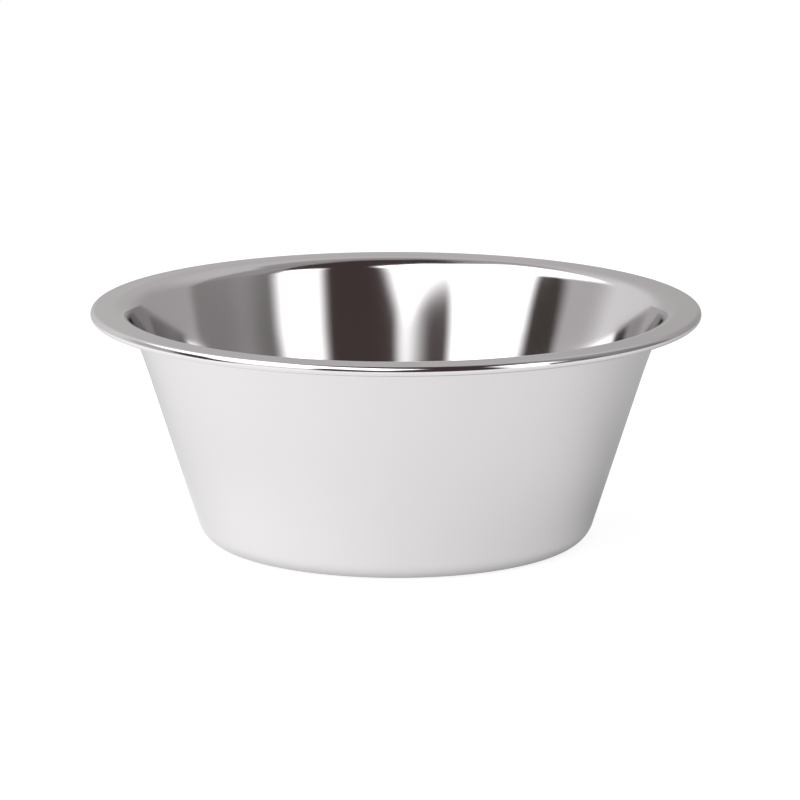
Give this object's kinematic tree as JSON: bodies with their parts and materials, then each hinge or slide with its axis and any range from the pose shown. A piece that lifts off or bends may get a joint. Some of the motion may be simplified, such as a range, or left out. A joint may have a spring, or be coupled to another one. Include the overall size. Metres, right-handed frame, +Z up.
{
  "type": "pet bowl",
  "caption": "Open round feeding bowl in stainless sheet, with a leaning wall, a wide and nearly level brim and a rolled edge, for a dog's food or water.",
  "frame": {"origin": "middle of the foot ring, on the table that the bowl stands on", "axes": "+Z up along the bowl's axis of turning, and -Y towards the viewer of the picture"},
  "size_m": [0.22, 0.22, 0.0855],
  "materials": {
    "polished_stainless": "mirror polished inside and on the brim, buffed outside"
  },
  "bodies": {
    "root": {"bowl": "polished_stainless"}
  },
  "joints": []
}
